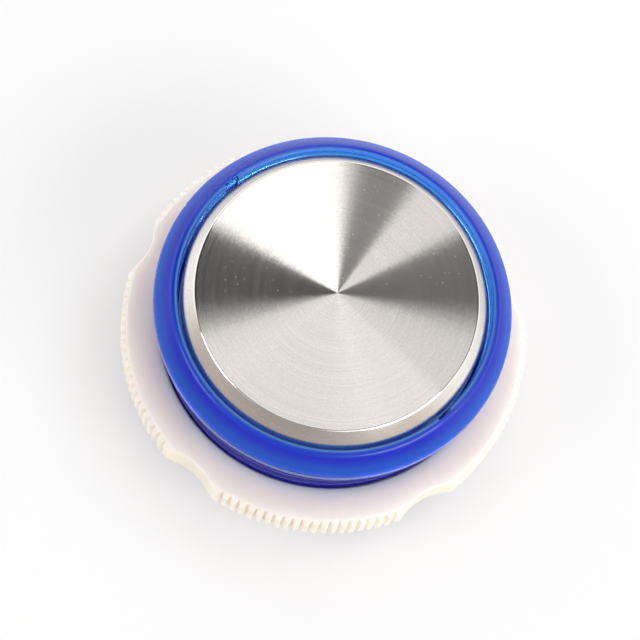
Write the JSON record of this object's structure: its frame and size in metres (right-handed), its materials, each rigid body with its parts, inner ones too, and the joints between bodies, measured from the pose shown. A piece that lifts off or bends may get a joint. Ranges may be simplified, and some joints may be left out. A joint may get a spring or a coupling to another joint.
{
  "type": "lift push button",
  "caption": "Round lift push button with a turned steel cap, translucent blue ring on a threaded sleeve and a knurled clamping nut, made to be fixed through a hole in a panel.",
  "frame": {"origin": "on the button's axis, level with the underside of the flange, which is the front of the panel", "axes": "+Z out of the button's face along its axis, +X and +Y across it, with the connector at -Y"},
  "size_m": [0.0441, 0.0442, 0.0201],
  "materials": {
    "turned_steel": "turned in fine circles",
    "white_plastic": "moulded",
    "blue_plastic": "clear blue, moulded smooth",
    "ivory_plastic": "moulded satin",
    "spring_steel": "drawn wire",
    "green_board": "solder mask on glass fibre",
    "led_white": "moulded with a clear window",
    "chip_black": "fired chip",
    "diode_black": "moulded",
    "switch_black": "moulded",
    "switch_grey": "moulded",
    "plunger_red": "moulded",
    "contact_brass": "stamped",
    "contact_silver": "riveted studs",
    "cream_plastic": "moulded",
    "tinned_pin": "tinned",
    "dark_plastic": "fine moulded grain",
    "plated_screw": "zinc plated"
  },
  "bodies": {
    "housing": {"halo_sleeve": "blue_plastic", "circuit_board": "green_board", "ring_leds": "led_white", "led_resistors": "chip_black", "guard_diode": "diode_black", "switch_base": "switch_black", "switch_cover": "switch_grey", "switch_terminals": "contact_brass", "fixed_contacts": "contact_silver", "connector_shell": "cream_plastic", "connector_pins": "tinned_pin", "rear_cover": "dark_plastic", "cover_screws": "plated_screw", "return_spring": "spring_steel", "switch_spring": "spring_steel"},
    "button": {"button_cap": "turned_steel", "cap_carrier": "white_plastic"},
    "plunger": {"switch_plunger": "plunger_red", "contact_bridge": "contact_brass", "moving_contacts": "contact_silver"},
    "nut": {"lock_nut": "ivory_plastic"}
  },
  "joints": [
    {"name": "button_press", "type": "slide", "parent": "housing", "child": "button", "axis": [0, 0, -1], "range_m": [0, 0.0012], "stiffness_N_per_m": 600, "springref_m": -0.004, "deforming": ["return_spring"]},
    {"name": "switch_press", "type": "slide", "parent": "housing", "child": "plunger", "axis": [0, 0, -1], "range_m": [0, 0.0012], "stiffness_N_per_m": 100, "springref_m": -0.002, "deforming": ["switch_spring"]},
    {"name": "nut_travel", "type": "slide", "parent": "housing", "child": "nut", "axis": [0, 0, 1], "range_m": [-0.002, 0.0058]}
  ],
  "couplings": [
    {"joint": "switch_press", "follows": "button_press", "ratio": 1}
  ]
}
